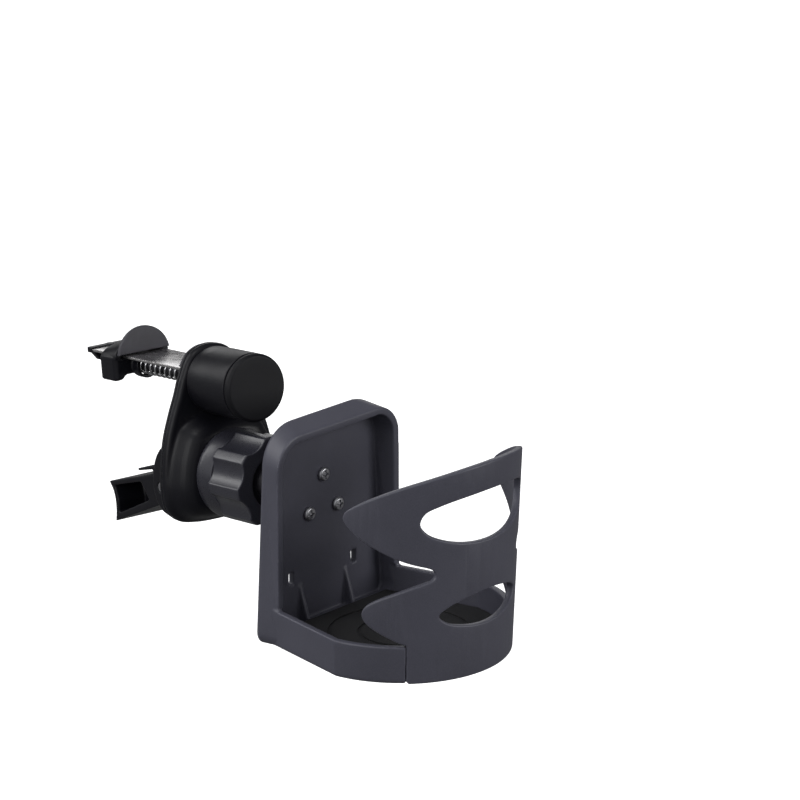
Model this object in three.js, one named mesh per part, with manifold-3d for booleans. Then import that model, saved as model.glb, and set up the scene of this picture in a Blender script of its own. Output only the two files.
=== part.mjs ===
// Desk clamp cup holder: an open cup tray on a tall back plate, carried by a screw clamp
// through a lockable ball joint. Millimetres, +Z up, the open front of the tray towards -Y.
// The origin is on the cup axis, at the underside of the tray.
import * as THREE from 'three';
import { mergeVertices } from 'three/addons/utils/BufferGeometryUtils.js';
import Module from 'manifold-3d';

const wasm = await Module();
wasm.setup();

// ---------------------------------------------------------------- driving dimensions
// tray and guard
const TRAY_R = 41.3;            // outer radius of the round front at the underside
const TRAY_DRAFT = 0.04;        // radius gained per millimetre of height
const TRAY_RIM = 14.4;          // height of the tray wall
const ROUND_END = 83;           // angle from the front where the round wall turns into the straight sides
const SIDE_TAPER = 0.213;       // how fast the straight sides draw in
const WALL = 2.8;               // wall of the frame moulding
const FLOOR = 3;                // thickness of the tray floor
const BACK_Y = 41;              // rear face of the back plate
const HOOD_Y = 29.6;            // front edge of the side flanges
const HOOD_FRONT = { foot: 33.6, waist: 33.2, top: 79, corner: 12 };
const HOOD_BACK = { foot: 33.4, waist: 29.8, top: 80.4, corner: 14 };
const GUARD_WALL = 2.6;
const SEAM = 45.6;              // angle of the seam between tray wall and guard
const GUARD_SCREW_ANGLE = 30;
const GUARD_SCREW_R = 36.4;
// ball joint
const BALL = [0, 66.9, 48.2];   // ball centre
const CLAMP_YAW = -12.5;        // the clamp as it stands, turned about the vertical
const CLAMP_PITCH = -7.5;       // and nosed up, about its own cross axis
const BALL_R = 8;
const NECK_R = 3.2;
const LINER = [8.3, 9.3];       // inner and outer radius of the spherical liner
const SEAT_BORE = 9.6;
const SEAT_R = 11;
const COLLET = [11.3, 13];
const FLANGE_R = 17.2;
const NUT = { radius: 17.6, bore: 13.3, mouth: 10.4, front: -7.4, rear: 12.8, flutes: 8 };
// clamp, measured along its own axes from the ball centre
const AXIS_Z = 34.9;            // height of the screw axis above the ball
const BODY_FRONT = 29.4;        // front face of the thin upper part
const BODY_NOSE = 20.8;         // front face of the housing round the ball joint
const BODY_REAR = 32.6;
const COVER = [32.9, 34.8];
const KNOB_Y = 0.4;             // front face of the knob cap
const STRIP = { half: 9, low: 38.8, high: 39.8, start: 30.2, end: 104.4 };
const SCREW_R = 2.4;
const SCREW_END = 100.8;
const JAW = { front: 79.4, rear: 90.6, half: 12.5, low: 29.8, crest: 43.8, high: 41.4 };
const PAD_R = 11.6;
const PAD_Z = 38.5;
const SPRING = { radius: 3.15, wire: 0.43, start: 35, end: 84.2, turns: 15 };
const PIN = [39.8, -4.4];          // foot pin, (y, z)
const FOOT_HALF = 17.2;
const LUG = [17.6, 21.6];

// ---------------------------------------------------------------- materials
const finish = (color, roughness, metalness) => ({ color, roughness, metalness });
const SHELL = finish(0x3f3e46, 0.62, 0);
const DARK = finish(0x202126, 0.55, 0);
const CAP = finish(0x1c1d20, 0.45, 0);
const RUBBER = finish(0x2c2b2e, 0.9, 0);
const STEEL = finish(0xb9bcc2, 0.3, 1);
const ZINC = finish(0x8d9097, 0.4, 1);
const ACETAL = finish(0xd8d4c8, 0.5, 0);

// ---------------------------------------------------------------- geometry helpers
const rad = (degrees) => (degrees * Math.PI) / 180;
const sum = (parts) => parts.reduce((a, b) => a.add(b));
const cut = (part, tools) => part.subtract(sum(tools));
const vec2 = (points) => points.map(([x, y]) => new THREE.Vector2(x, y));

function manifoldFrom(positions, faces) {
  let volume = 0;
  for (const [a, b, c] of faces) {
    const va = new THREE.Vector3().fromArray(positions, 3 * a);
    const vb = new THREE.Vector3().fromArray(positions, 3 * b);
    const vc = new THREE.Vector3().fromArray(positions, 3 * c);
    volume += va.dot(vb.cross(vc));
  }
  const outward = volume > 0 ? faces : faces.map(([a, b, c]) => [a, c, b]);
  const vertProperties = Float32Array.from(positions);
  const triVerts = Uint32Array.from(outward.flat());
  return new wasm.Manifold(new wasm.Mesh({ numProp: 3, vertProperties, triVerts }));
}

function solid(geometry) {
  geometry.deleteAttribute('normal');
  geometry.deleteAttribute('uv');
  const merged = mergeVertices(geometry, 1e-4);
  const index = merged.index.array;
  const faces = [];
  for (let i = 0; i < index.length; i += 3) {
    const [a, b, c] = [index[i], index[i + 1], index[i + 2]];
    if (a !== b && b !== c && c !== a) faces.push([a, b, c]);
  }
  return manifoldFrom(Array.from(merged.attributes.position.array), faces);
}

// Closed skin over rings of equal point count; caps are filled from the flat outlines.
function loft(loops, place) {
  const clockwise = THREE.ShapeUtils.isClockWise(loops[0]);
  const outlines = loops.map((loop) => (clockwise ? [...loop].reverse() : loop));
  const count = outlines[0].length;
  const positions = outlines.flatMap((ring, level) => ring.flatMap((p) => place(p, level)));
  const faces = [];
  for (let level = 0; level + 1 < outlines.length; level += 1) {
    for (let i = 0; i < count; i += 1) {
      const a = level * count + i;
      const b = level * count + ((i + 1) % count);
      faces.push([a, b, b + count], [a, b + count, a + count]);
    }
  }
  const last = (outlines.length - 1) * count;
  for (const [a, b, c] of THREE.ShapeUtils.triangulateShape(outlines[0], [])) faces.push([a, c, b]);
  for (const [a, b, c] of THREE.ShapeUtils.triangulateShape(outlines.at(-1), [])) {
    faces.push([last + a, last + b, last + c]);
  }
  return manifoldFrom(positions, faces);
}

const prismZ = (outline, z0, z1) => loft([outline, outline], (p, i) => [p.x, p.y, i ? z1 : z0]);
const prismY = (outline, y0, y1) => loft([outline, outline], (p, i) => [p.x, i ? y0 : y1, p.y]);
const prismX = (outline, x0, x1) => loft([outline, outline], (p, i) => [i ? x1 : x0, p.x, p.y]);

function block([x0, x1], [y0, y1], [z0, z1]) {
  return prismZ(vec2([[x0, y0], [x1, y0], [x1, y1], [x0, y1]]), z0, z1);
}

// Turned solid about a line parallel to Y; profile pairs are (radius, y).
function turnedY(profile, segments, x = 0, z = 0) {
  const closed = [...profile, profile[0]];
  return solid(new THREE.LatheGeometry(vec2(closed), segments).translate(x, 0, z));
}

function turnedZ(profile, segments, x = 0, y = 0) {
  const closed = [...profile, profile[0]];
  const lathe = new THREE.LatheGeometry(vec2(closed), segments);
  return solid(lathe.rotateX(Math.PI / 2).translate(x, y, 0));
}

const rodY = (r, y0, y1, x = 0, z = 0, segments = 24) =>
  turnedY([[0, y0], [r, y0], [r, y1], [0, y1]], segments, x, z);
const rodZ = (r, z0, z1, x = 0, y = 0, segments = 24) =>
  turnedZ([[0, z0], [r, z0], [r, z1], [0, z1]], segments, x, y);

function rodX(r, x0, x1, y, z, segments = 24) {
  const circle = new THREE.EllipseCurve(y, z, r, r, 0, 2 * Math.PI).getPoints(segments).slice(0, -1);
  return prismX(circle, x0, x1);
}

function smoothLoop(points, count) {
  const corners = points.map(([x, y]) => new THREE.Vector3(x, y, 0));
  const curve = new THREE.CatmullRomCurve3(corners, true, 'centripetal');
  return curve.getSpacedPoints(count).slice(0, -1).map((p) => new THREE.Vector2(p.x, p.y));
}

function inset(outline, distance) {
  const count = outline.length;
  return outline.map((p, i) => {
    const before = outline[(i + count - 1) % count];
    const after = outline[(i + 1) % count];
    const along = after.clone().sub(before).normalize();
    return new THREE.Vector2(p.x - along.y * distance, p.y + along.x * distance);
  });
}

// Height curve through (angle, z) pairs, for angles of either sign.
function heightCurve(pairs) {
  return (angle) => {
    const a = Math.abs(angle);
    const i = Math.max(1, pairs.findIndex(([at]) => at >= a));
    const [a0, z0] = pairs[i - 1];
    const [a1, z1] = pairs[i];
    return z0 + ((z1 - z0) * (a - a0)) / (a1 - a0);
  };
}

// ---------------------------------------------------------------- tray and back plate
const trayRadius = (z) => TRAY_R + TRAY_DRAFT * z;

// Round front, then two straight sides drawing in towards the back.
function trayOutline(z, back, shrink) {
  const r = trayRadius(z) - shrink;
  const front = angles(-ROUND_END, ROUND_END, 7)
    .map((angle) => [r * Math.sin(rad(angle)), -r * Math.cos(rad(angle))]);
  const half = r * Math.sin(rad(ROUND_END)) - SIDE_TAPER * (back + r * Math.cos(rad(ROUND_END)));
  return vec2([...front, [half, back], [-half, back]]);
}

function hoodOutline({ foot, waist, top, corner }, shrink, low) {
  const half = waist - shrink;
  const bend = corner - shrink;
  const right = [[foot - shrink - 3, low], [foot - shrink - 0.8, low + 1.4], [foot - shrink, low + 4]];
  for (let angle = 0; angle <= 90; angle += 15) {
    const x = half - bend + bend * Math.cos(rad(angle));
    right.push([x, top - corner + bend * Math.sin(rad(angle))]);
  }
  const left = right.map(([x, z]) => [-x, z]).reverse();
  return vec2([...right, ...left]);
}

function holderFrame() {
  const trayLevels = [[0, 1.2], [1.2, 0], [TRAY_RIM, 0]];
  const tray = loft(trayLevels.map(([z, s]) => trayOutline(z, BACK_Y - 1.5, s)),
    (p, i) => [p.x, p.y, trayLevels[i][0]]);
  const hoodLevels = [[HOOD_Y, HOOD_FRONT, 0], [38.6, HOOD_BACK, -1.6], [40.2, HOOD_BACK, -0.3],
    [BACK_Y, HOOD_BACK, 1.2]];
  const hood = loft(hoodLevels.map(([, shape, s]) => hoodOutline(shape, s, 0)),
    (p, i) => [p.x, hoodLevels[i][0], p.y]);
  const scoopLevels = [[HOOD_Y - 0.5, HOOD_FRONT, WALL], [BACK_Y - 3, HOOD_BACK, WALL - 1.4]];
  const scoop = loft(scoopLevels.map(([, shape, s]) => hoodOutline(shape, s, FLOOR)),
    (p, i) => [p.x, scoopLevels[i][0], p.y]);
  const well = loft([FLOOR, TRAY_RIM + 1].map((z) => trayOutline(z, BACK_Y - 3.2, WALL)),
    (p, i) => [p.x, p.y, i ? TRAY_RIM + 1 : FLOOR]);
  const rib = vec2([[BACK_Y - 2, 21], [BACK_Y - 2, 2], [33.6, 2], [33.6, 4.6]]);
  const ribs = [-1, 1].map((side) => prismX(rib, 12.4 * side - 0.9, 12.4 * side + 0.9));
  const slots = [-1, 1].map((side) => block([17 * side - 1.4, 17 * side + 1.4], [37, 42], [18, 23]));
  const screwHoles = studScrewSpots().map(([x, z]) => rodY(1.6, 37, 42, x, z, 12));
  const shell = cut(tray.add(hood), [scoop, well]).add(sum(ribs));
  return cut(shell, [guardSeat(), ...slots, ...screwHoles, ...guardPockets()]);
}

// Room for the guard skirt round the front of the tray, inside the two seams.
function guardSeat() {
  const levels = [-1, TRAY_RIM + 1];
  const behindGuard = (z) => trayRadius(z) - GUARD_WALL - 0.1;
  return band(angles(-SEAM, SEAM, 6), () => levels, behindGuard, () => 60);
}

function guardScrewSpots() {
  return [-1, 1].map((side) => {
    const angle = rad(side * GUARD_SCREW_ANGLE);
    return [GUARD_SCREW_R * Math.sin(angle), -GUARD_SCREW_R * Math.cos(angle)];
  });
}

function guardPockets() {
  return guardScrewSpots().flatMap(([x, y]) => [
    rodZ(2.9, FLOOR - 0.6, TRAY_RIM + 1, x, y, 12),
    rodZ(1.2, -1, FLOOR, x, y, 12),
    rodZ(2.2, -1, 1.6, x, y, 12),
  ]);
}

function baseMat() {
  const outline = trayOutline(FLOOR, 33.2, WALL + 0.5);
  const bosses = guardScrewSpots().map(([x, y]) => rodZ(3.2, 0, 10, x, y, 12));
  const grooves = [14, 25].map((r) => turnedZ([[r, 4.2], [r + 1.6, 4.2], [r + 1.6, 6], [r, 6]], 28));
  return cut(prismZ(outline, FLOOR + 0.1, FLOOR + 1.9), [...bosses, ...grooves]);
}

// ---------------------------------------------------------------- front guard
function angles(from, to, step) {
  const count = Math.ceil((to - from) / step);
  return Array.from({ length: count + 1 }, (_, i) => from + ((to - from) * i) / count);
}

// Curved wall between two heights, built station by station round the cup axis.
function band(stations, heights, inner, outer) {
  const square = vec2([[0, 0], [1, 0], [1, 1], [0, 1]]);
  const place = (p, i) => {
    const z = heights(stations[i])[p.y];
    const r = p.x ? outer(z) : inner(z);
    return [r * Math.sin(rad(stations[i])), -r * Math.cos(rad(stations[i])), z];
  };
  return loft(stations.map(() => square), place);
}

// Hole through the guard, its outline given as (angle, z).
function radialHole(outline) {
  const place = (p, i) => {
    const r = i ? 70 : 20;
    return [r * Math.sin(rad(p.x)), -r * Math.cos(rad(p.x)), p.y];
  };
  return loft([outline, outline], place);
}

const guardTop = heightCurve([[0, 80.8], [10, 80.4], [20, 79.6], [34, 77.6], [48, 74.7], [60, 71.2],
  [68, 68], [72, 66], [75, 64], [76.4, 62], [80, 55]]);
const upperClawFoot = heightCurve([[0, 41.4], [30.8, 41.4], [31.6, 43], [33, 43.8], [38, 44.9],
  [46, 46.8], [55, 49.7], [63, 52.8], [70, 56.4], [74.4, 59.4], [76.4, 62], [80, 66]]);
const lowerClawTop = heightCurve([[0, 41.4], [30.8, 41.4], [31.6, 39.9], [33, 39.1], [40, 37.5],
  [50, 35], [58, 32.6], [63.5, 30.5], [66.4, 28.8], [67.8, 26.4], [80, 0]]);
const lowerClawFoot = heightCurve([[0, 14.8], [SEAM, 14.8], [53, 17.1], [60, 19.7], [64.6, 22],
  [67, 24.4], [67.8, 26.2], [80, 50]]);

function frontGuard() {
  const inner = (z) => trayRadius(z) - GUARD_WALL;
  const wide = (z) => trayRadius(z) + 1.5;
  const narrow = (z) => inner(z) - 1.5;
  const notch = (a) => [lowerClawTop(a), upperClawFoot(a)];
  const skirt = (a) => [-2, lowerClawFoot(a)];
  const mirrored = (stations) => stations.map((a) => -a).reverse();
  const skirtAngles = [SEAM - 0.3, 50, 55, 60, 64, 67, 69.5, 72, 74.4, 76.4, 78, 80];
  const notchAngles = [30.8, 31.6, 33, 37, 41, ...skirtAngles];
  const shellAngles = notchAngles.slice(0, -1);
  const ring = [...mirrored(shellAngles), ...angles(-26, 26, 4.4), ...shellAngles];
  const shell = band(ring, (a) => [0, guardTop(a)], inner, trayRadius);
  const notches = [notchAngles, mirrored(notchAngles)].map((at) => band(at, notch, narrow, wide));
  const skirts = [skirtAngles, mirrored(skirtAngles)].map((at) => band(at, skirt, narrow, wide));
  const upperEye = radialHole(smoothLoop([[-38.6, 61], [-36.6, 64.8], [-29, 67.2], [-17, 69.2],
    [0, 70.2], [17, 69.2], [29, 67.2], [36.6, 64.8], [38.6, 61], [35, 57], [26, 53.9], [14, 51.9],
    [0, 51.2], [-14, 51.9], [-26, 53.9], [-35, 57]], 32));
  const lowerEye = radialHole(smoothLoop([[-28.8, 25.4], [-24, 28.2], [-12, 31], [0, 32],
    [12, 31], [24, 28.2], [28.8, 25.4], [24.6, 22.4], [13, 20], [0, 19.2], [-13, 20],
    [-24.6, 22.4]], 26));
  const bosses = guardScrewSpots().map(([x, y]) => rodZ(2.6, FLOOR - 0.4, 12, x, y, 12));
  const bores = guardScrewSpots().map(([x, y]) => rodZ(0.95, 0, 10, x, y, 12));
  return cut(shell.add(sum(bosses)), [...notches, ...skirts, upperEye, lowerEye, ...bores]);
}

function guardScrew([x, y]) {
  return turnedZ([[0, 0.1], [2, 0.1], [2, 1.4], [0.9, 1.4], [0.9, 9.5], [0, 9.5]], 12, x, y);
}

// ---------------------------------------------------------------- ball stud
function studScrewSpots() {
  return [90, 210, 330].map((angle) =>
    [9 * Math.cos(rad(angle)), BALL[2] + 9 * Math.sin(rad(angle))]);
}

function ballStud() {
  const [, y, z] = BALL;
  const profile = [[0, BACK_Y + 0.1], [13.5, BACK_Y + 0.1], [13.5, 44.4], [12.7, 45.2], [7.4, 45.8],
    [5, 48.4], [NECK_R, 52], [NECK_R, y - Math.sqrt(BALL_R ** 2 - NECK_R ** 2)]];
  for (let angle = 140; angle >= 20; angle -= 20) {
    profile.push([BALL_R * Math.sin(rad(angle)), y + BALL_R * Math.cos(rad(angle))]);
  }
  profile.push([0, y + BALL_R]);
  const bores = studScrewSpots().map(([sx, sz]) => rodY(1.25, 40, 44.2, sx, sz, 12));
  return cut(turnedY(profile, 26, 0, z), bores);
}

function studScrew([x, z]) {
  return turnedY([[0, 36.2], [2.7, 36.2], [2.7, 37.9], [1.2, 37.9], [1.2, 44], [0, 44]], 12, x, z);
}

// ---------------------------------------------------------------- ball joint in the clamp
function sphereArc(radius, from, to, step) {
  const count = Math.ceil(Math.abs(to - from) / step);
  return Array.from({ length: count + 1 }, (_, i) => {
    const angle = rad(from + ((to - from) * i) / count);
    return [radius * Math.sin(angle), radius * Math.cos(angle)];
  });
}

const ballLiner = () =>
  turnedY([...sphereArc(LINER[1], 8, 122, 19), ...sphereArc(LINER[0], 122, 8, 19)], 24);

function ballSeat() {
  const mouth = Math.acos(-5.6 / SEAT_BORE) * (180 / Math.PI);
  const bore = sphereArc(SEAT_BORE, mouth, 0, 18);
  return turnedY([...bore, [0, 11.9], [SEAT_R, 11.9], [SEAT_R, -5.6]], 24);
}

function socketScrewSpots() {
  return [30, 150, 270].map((angle) => [14 * Math.cos(rad(angle)), 14 * Math.sin(rad(angle))]);
}

function socketCollet() {
  const body = turnedY([[COLLET[0], -5.2], [12.2, -5.2], [COLLET[1], -4.2], [COLLET[1], 13.3],
    [15.4, 13.3], [FLANGE_R, 18.5], [FLANGE_R, 20.5], [0, 20.5], [0, 12.2], [COLLET[0], 12.2]], 36);
  const slits = [0, 90].map((turn) => {
    const [x, z] = turn ? [0.8, 20] : [20, 0.8];
    return block([-x, x], [-6, 3.5], [-z, z]);
  });
  const bores = socketScrewSpots().map(([x, z]) => rodY(1.3, 16, 21, x, z, 12));
  return cut(body, [...slits, ...bores]);
}

function socketScrew([x, z]) {
  return turnedY([[0, 16.2], [1.2, 16.2], [1.2, 23.8], [2.4, 23.8], [2.4, 25.2], [0, 25.2]], 12, x, z);
}

function lockNut() {
  const { radius, bore, mouth, front, rear, flutes } = NUT;
  const profile = [[mouth, front], [radius - 1.2, front], [radius, front + 1.2], [radius, rear - 1],
    [radius - 1, rear], [bore, rear], [bore, front + 1.5], [mouth, front + 1.5]];
  const grooves = Array.from({ length: flutes }, (_, i) => {
    const angle = rad(27.5 + (360 / flutes) * i);
    return rodY(8.6, front - 1, rear + 1, 24 * Math.cos(angle), 24 * Math.sin(angle), 48);
  });
  return cut(turnedY(profile, 48), grooves);
}

// ---------------------------------------------------------------- clamp body
const BODY_OUTLINE = smoothLoop([[0, 48.7], [8.4, 46], [13.4, 38], [16.2, 31], [19.3, 24],
  [22.6, 15], [24.6, 5], [25.4, -4], [24.4, -11.4], [20, -16.4], [12, -18.4], [0, -18.8],
  [-12, -18.4], [-20, -16.4], [-24.4, -11.4], [-25.4, -4], [-24.6, 5], [-22.6, 15], [-19.3, 24],
  [-16.2, 31], [-13.4, 38], [-8.4, 46]].reverse(), 36);
const NOSE_OUTLINE = smoothLoop([[0, 21.6], [10, 21], [16.4, 18.2], [20.4, 11], [22.6, 3],
  [23.4, -4], [22, -10.6], [18, -15], [10.6, -16.8], [0, -17.2], [-10.6, -16.8], [-18, -15],
  [-22, -10.6], [-23.4, -4], [-22.6, 3], [-20.4, 11], [-16.4, 18.2], [-10, 21]].reverse(), 30);
const COVER_SCREWS = [[-14.5, 14.5], [14.5, 14.5], [-13, -12], [13, -12]];

const stacked = (outline, levels) =>
  loft(levels.map(([, shrink]) => inset(outline, shrink)), (p, i) => [p.x, levels[i][0], p.y]);

function clampBody() {
  const plate = stacked(BODY_OUTLINE, [[BODY_REAR, 0], [31, 0], [30, 0.5], [BODY_FRONT, 1.6]]);
  const nose = stacked(NOSE_OUTLINE, [[31, 0], [29.2, 0.1], [26, 0.9], [23.2, 2.4], [21.6, 4.1],
    [BODY_NOSE, 5.8]]);
  const cavity = stacked(NOSE_OUTLINE, [[33, 3], [28.4, 3.2], [26, 4.4], [24, 6]]);
  const posts = COVER_SCREWS.map(([x, z]) => rodY(2.6, 22, BODY_REAR, x, z, 12));
  const shell = cut(plate.add(nose), [cavity]).add(sum(posts.map((p) => p.intersect(plate.add(nose)))));
  const screwBores = COVER_SCREWS.map(([x, z]) => rodY(1, 27, 33, x, z, 12));
  const socketBores = socketScrewSpots().flatMap(([x, z]) =>
    [rodY(1.35, 20, 24, x, z, 12), rodY(2.6, 23.7, 31, x, z, 12)]);
  const stripPocket = block([-10.8, 10.8], [30, 33], [STRIP.low - 0.2, STRIP.high + 0.2]);
  return cut(shell, [rodY(SCREW_R + 0.1, 29, 33, 0, AXIS_Z), stripPocket, ...screwBores,
    ...socketBores]);
}

function rearCover() {
  const [front, rear] = COVER;
  const plate = stacked(BODY_OUTLINE, [[rear, 1], [rear - 0.7, 0.1], [front, 0.1]]);
  const lug = vec2([[33.5, 13.4], [38.4, 10.6], [42, 6.4], [44.4, 0], [44.8, -6], [42.8, -11],
    [38.8, -14], [33.5, -15.2]]);
  const lugs = [[-LUG[1], -LUG[0]], [LUG[0], LUG[1]]].map(([x0, x1]) => prismX(lug, x0, x1));
  const pinBore = rodX(2.05, -30, 30, ...PIN);
  const clipSeat = rodY(3.4, front - 1, 34.2, 0, AXIS_Z);
  const screwBore = rodY(SCREW_R + 0.15, 32, 36, 0, AXIS_Z);
  const slot = block([-9.2, 9.2], [32, 36], [STRIP.low - 0.2, STRIP.high + 0.2]);
  const sinks = COVER_SCREWS.flatMap(([x, z]) =>
    [rodY(1.15, 32, 36, x, z, 12), rodY(2.3, 33.7, 36, x, z, 12)]);
  return cut(plate.add(sum(lugs)), [pinBore, clipSeat, screwBore, slot, ...sinks]);
}

function coverScrew([x, z]) {
  return turnedY([[0, 27.4], [0.9, 27.4], [0.9, 33.8], [2.1, 33.8], [2.1, 34.7], [0, 34.7]], 12, x, z);
}

function halfDisc(radius, centre, low) {
  const start = Math.asin((low - centre) / radius);
  const arc = new THREE.EllipseCurve(0, centre, radius, radius, start, Math.PI - start);
  return arc.getPoints(22);
}

const bodyPad = () => prismY(halfDisc(11.4, 36.4, 40.8), COVER[1] + 0.1, 37);

// ---------------------------------------------------------------- screw, knob, strip
function clampScrew() {
  const rod = turnedY([[0, 8], [SCREW_R, 8], [SCREW_R, SCREW_END - 0.8], [SCREW_R - 0.8, SCREW_END],
    [0, SCREW_END]], 20, 0, AXIS_Z);
  return rod.add(rodY(4, KNOB_Y + 5.7, KNOB_Y + 9.2, 0, AXIS_Z, 6));
}

function clampKnob() {
  const profile = [[0, 5.6], [10.6, 5.6], [10.6, 3.6], [12.3, 3.6], [12.9, 4.2], [12.9, 11],
    [12.8, 22], [12.7, 27.8], [11.9, 28.7], [9.8, 28.7], [9.8, 12], [5.4, 12], [5.4, 27.9], [0, 27.9]]
    .map(([r, y]) => [r, y + KNOB_Y]);
  const bore = rodY(SCREW_R + 0.05, 4, 30, 0, AXIS_Z, 20);
  return cut(turnedY(profile, 36, 0, AXIS_Z), [bore, rodY(4.1, 4, KNOB_Y + 9.3, 0, AXIS_Z, 6)]);
}

const knobCap = () => turnedY([[0, 0], [12, 0], [12.9, 0.9], [12.9, 2.7], [12.4, 3.2],
  [10.4, 3.2], [10.4, 5.2], [0, 5.2]].map(([r, y]) => [r, y + KNOB_Y]), 36, 0, AXIS_Z);

const washer = (inner, outer, y0, y1) =>
  turnedY([[inner, y0], [outer, y0], [outer, y1], [inner, y1]], 24, 0, AXIS_Z);

function retainingClip() {
  const gap = block([-0.9, 0.9], [32, 36], [AXIS_Z, AXIS_Z + 8]);
  return cut(washer(SCREW_R + 0.05, 3.2, 33.1, 34), [gap]);
}

function guideStrip() {
  const { half, low, high, start, end } = STRIP;
  const outline = vec2([[-10.6, start], [10.6, start], [10.6, 32.4], [half, 32.4], [half, end - 1.5],
    [half - 1.5, end], [1.5 - half, end], [-half, end - 1.5], [-half, 32.4], [-10.6, 32.4]]);
  return cut(prismZ(outline, low, high), [rodZ(1.6, low - 1, high + 1, 0, 102.6, 12)]);
}

function stripStop() {
  const { low, high } = STRIP;
  const tab = vec2([[-8.6, low - 0.1], [-5.6, low - 4], [5.6, low - 4], [8.6, low - 0.1]]);
  const rivet = turnedZ([[0, high + 0.7], [2, high + 0.7], [2.6, high + 0.1], [1.5, high + 0.1],
    [1.5, low - 1], [0, low - 1]], 12, 0, 102.6);
  return prismY(tab, 101.2, 104.2).add(rivet);
}

class Helix extends THREE.Curve {
  getPoint(t) {
    const { radius, wire, start, end, turns } = SPRING;
    const angle = 2 * Math.PI * turns * t;
    const y = start + wire + (end - start - 2 * wire) * t;
    return new THREE.Vector3(radius * Math.cos(angle), y, AXIS_Z + radius * Math.sin(angle));
  }
}

function clampSpring() {
  const corners = Array.from({ length: 5 }, (_, i) => rad(72 * i));
  const wire = new THREE.Shape(vec2(corners.map((a) => [Math.cos(a), Math.sin(a)]))
    .map((p) => p.multiplyScalar(SPRING.wire)));
  const options = { steps: SPRING.turns * 8, extrudePath: new Helix() };
  return solid(new THREE.ExtrudeGeometry(wire, { ...options, bevelEnabled: false }));
}

// ---------------------------------------------------------------- jaw
function jawBlock() {
  const { front, rear, half, low, crest, high } = JAW;
  const outline = (top) => vec2([[-half, low + 1], [1 - half, low], [-8.8, low], [-7.2, low + 1.8],
    [7.2, low + 1.8], [8.8, low], [half - 1, low], [half, low + 1], [half, top - 1], [half - 1, top],
    [1 - half, top], [-half, top - 1]]);
  const core = loft([outline(high), outline(crest)], (p, i) => [p.x, i ? front : rear, p.y]);
  const dome = halfDisc(11.2, PAD_Z, high - 1.5);
  const lowDome = dome.map((p) => new THREE.Vector2(p.x, high - 1.5 + (p.y - high + 1.5) * 0.12));
  const gusset = loft([lowDome, dome], (p, i) => [p.x, i ? front : rear, p.y]);
  const boss = rodY(5, front - 0.8, rear, 0, AXIS_Z, 28);
  const springWell = rodY(3.95, front - 1, SPRING.end + 0.1, 0, AXIS_Z);
  const screwBore = rodY(SCREW_R + 0.25, front, rear + 1, 0, AXIS_Z);
  const nutPocket = squareNut(3.45, 85.8, rear + 1);
  const slot = block([-9.3, 9.3], [front - 1, rear + 1], [STRIP.low - 0.3, STRIP.high + 0.3]);
  return cut(core.add(gusset).add(boss), [springWell, screwBore, nutPocket, slot]);
}

const jawPad = () => prismY(halfDisc(PAD_R, PAD_Z, 40.2), JAW.front - 2.3, JAW.front - 0.2);

const squareNut = (half, y0, y1) =>
  block([-half, half], [y0, y1], [AXIS_Z - half, AXIS_Z + half]);

const jawNut = () => cut(squareNut(3.3, 86, 89.8), [rodY(SCREW_R + 0.1, 85, 91, 0, AXIS_Z, 20)]);

// ---------------------------------------------------------------- support foot
function supportFoot() {
  const [py, pz] = PIN;
  const knuckle = Array.from({ length: 7 }, (_, i) => {
    const angle = rad(100 + 28 * i);
    return [py + 4.5 * Math.cos(angle), pz + 4.5 * Math.sin(angle)];
  });
  const profile = vec2([...knuckle, [48.3, -13.2], [81.8, -24.6], [81, -20.6], [80.9, -16.2],
    [81.8, -12.2], [84, -8.6], [51.6, -1.6], [51.4, 0.2], [62, -1.7], [62, -0.7], [47, 2.8]]);
  const body = prismX(profile, -FOOT_HALF, FOOT_HALF);
  const pocket = vec2([[61, -5.9], [56, -12.4], [78.8, -20.6], [78.2, -16], [80.4, -9.9]]);
  const pockets = [[-FOOT_HALF - 1, -5], [5, FOOT_HALF + 1]].map(([x0, x1]) => prismX(pocket, x0, x1));
  return cut(body, [rodX(2.1, -30, 30, py, pz), ...pockets]);
}

const footPin = () => rodX(2, -LUG[1] + 0.2, LUG[1] - 0.2, ...PIN);

// ---------------------------------------------------------------- assembly
function mesh(name, manifold, { color, roughness, metalness }) {
  const { vertProperties, triVerts } = manifold.getMesh();
  const geometry = new THREE.BufferGeometry();
  geometry.setAttribute('position', new THREE.BufferAttribute(Float32Array.from(vertProperties), 3));
  geometry.setIndex(Array.from(triVerts));
  geometry.computeVertexNormals();
  const material = new THREE.MeshStandardMaterial({ color, roughness, metalness });
  const piece = new THREE.Mesh(geometry, material);
  piece.name = name;
  return piece;
}

function numbered(name, spots, build, look) {
  return spots.map((spot, i) => mesh(`${name}_${i + 1}`, build(spot), look));
}

function holderGroup() {
  const group = new THREE.Group();
  group.name = 'holder';
  group.add(
    mesh('holder_frame', holderFrame(), SHELL),
    mesh('front_guard', frontGuard(), SHELL),
    mesh('base_mat', baseMat(), RUBBER),
    mesh('ball_stud', ballStud(), ZINC),
    ...numbered('guard_screw', guardScrewSpots(), guardScrew, STEEL),
    ...numbered('stud_screw', studScrewSpots(), studScrew, STEEL),
  );
  return group;
}

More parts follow.
